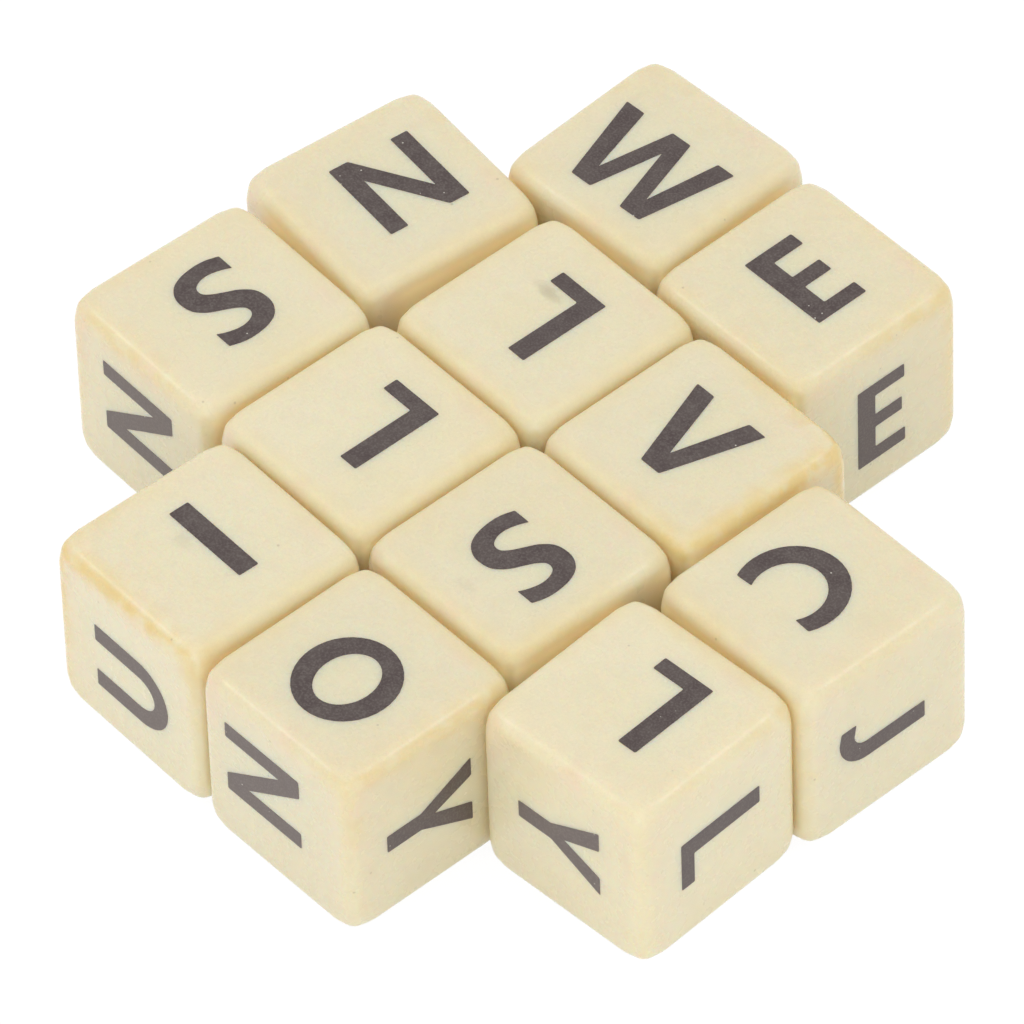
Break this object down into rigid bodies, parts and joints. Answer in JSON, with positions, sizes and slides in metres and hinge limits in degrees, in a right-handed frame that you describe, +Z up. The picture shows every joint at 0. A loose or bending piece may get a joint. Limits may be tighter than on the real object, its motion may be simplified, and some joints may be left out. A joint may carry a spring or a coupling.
{
  "type": "letter dice set",
  "caption": "Loose letter dice for a word game: rounded ivory plastic cubes, each face printed with one plain capital, standing in a block of rows.",
  "frame": {"origin": "on the table, under the middle of the block of dice", "axes": "+Z up; +X along the rows of dice; +Y from the front row to the back row"},
  "size_m": [0.0676, 0.0658, 0.016],
  "materials": {
    "ivory_plastic": "tumbled satin, yellowed a little along the edges",
    "letter_ink": "printed dark warm grey capitals, flush with the faces"
  },
  "bodies": {
    "middle_s_die": {"middle_s_die": "ivory_plastic"},
    "w_die": {"w_die": "ivory_plastic"},
    "e_die": {"e_die": "ivory_plastic"},
    "n_die": {"n_die": "ivory_plastic"},
    "middle_l_die": {"middle_l_die": "ivory_plastic"},
    "v_die": {"v_die": "ivory_plastic"},
    "c_die": {"c_die": "ivory_plastic"},
    "left_s_die": {"left_s_die": "ivory_plastic"},
    "left_l_die": {"left_l_die": "ivory_plastic"},
    "front_l_die": {"front_l_die": "ivory_plastic"},
    "i_die": {"i_die": "ivory_plastic"},
    "o_die": {"o_die": "ivory_plastic"}
  },
  "joints": [
    {"name": "w_lift", "type": "slide", "parent": "middle_s_die", "child": "w_die", "axis": [0, 0, 1], "range_m": [0, 0.02]},
    {"name": "e_lift", "type": "slide", "parent": "middle_s_die", "child": "e_die", "axis": [0, 0, 1], "range_m": [0, 0.02]},
    {"name": "n_lift", "type": "slide", "parent": "middle_s_die", "child": "n_die", "axis": [0, 0, 1], "range_m": [0, 0.02]},
    {"name": "middle_l_lift", "type": "slide", "parent": "middle_s_die", "child": "middle_l_die", "axis": [0, 0, 1], "range_m": [0, 0.02]},
    {"name": "v_lift", "type": "slide", "parent": "middle_s_die", "child": "v_die", "axis": [0, 0, 1], "range_m": [0, 0.02]},
    {"name": "c_lift", "type": "slide", "parent": "middle_s_die", "child": "c_die", "axis": [0, 0, 1], "range_m": [0, 0.02]},
    {"name": "left_s_lift", "type": "slide", "parent": "middle_s_die", "child": "left_s_die", "axis": [0, 0, 1], "range_m": [0, 0.02]},
    {"name": "left_l_lift", "type": "slide", "parent": "middle_s_die", "child": "left_l_die", "axis": [0, 0, 1], "range_m": [0, 0.02]},
    {"name": "front_l_lift", "type": "slide", "parent": "middle_s_die", "child": "front_l_die", "axis": [0, 0, 1], "range_m": [0, 0.02]},
    {"name": "i_lift", "type": "slide", "parent": "middle_s_die", "child": "i_die", "axis": [0, 0, 1], "range_m": [0, 0.02]},
    {"name": "o_lift", "type": "slide", "parent": "middle_s_die", "child": "o_die", "axis": [0, 0, 1], "range_m": [0, 0.02]}
  ]
}
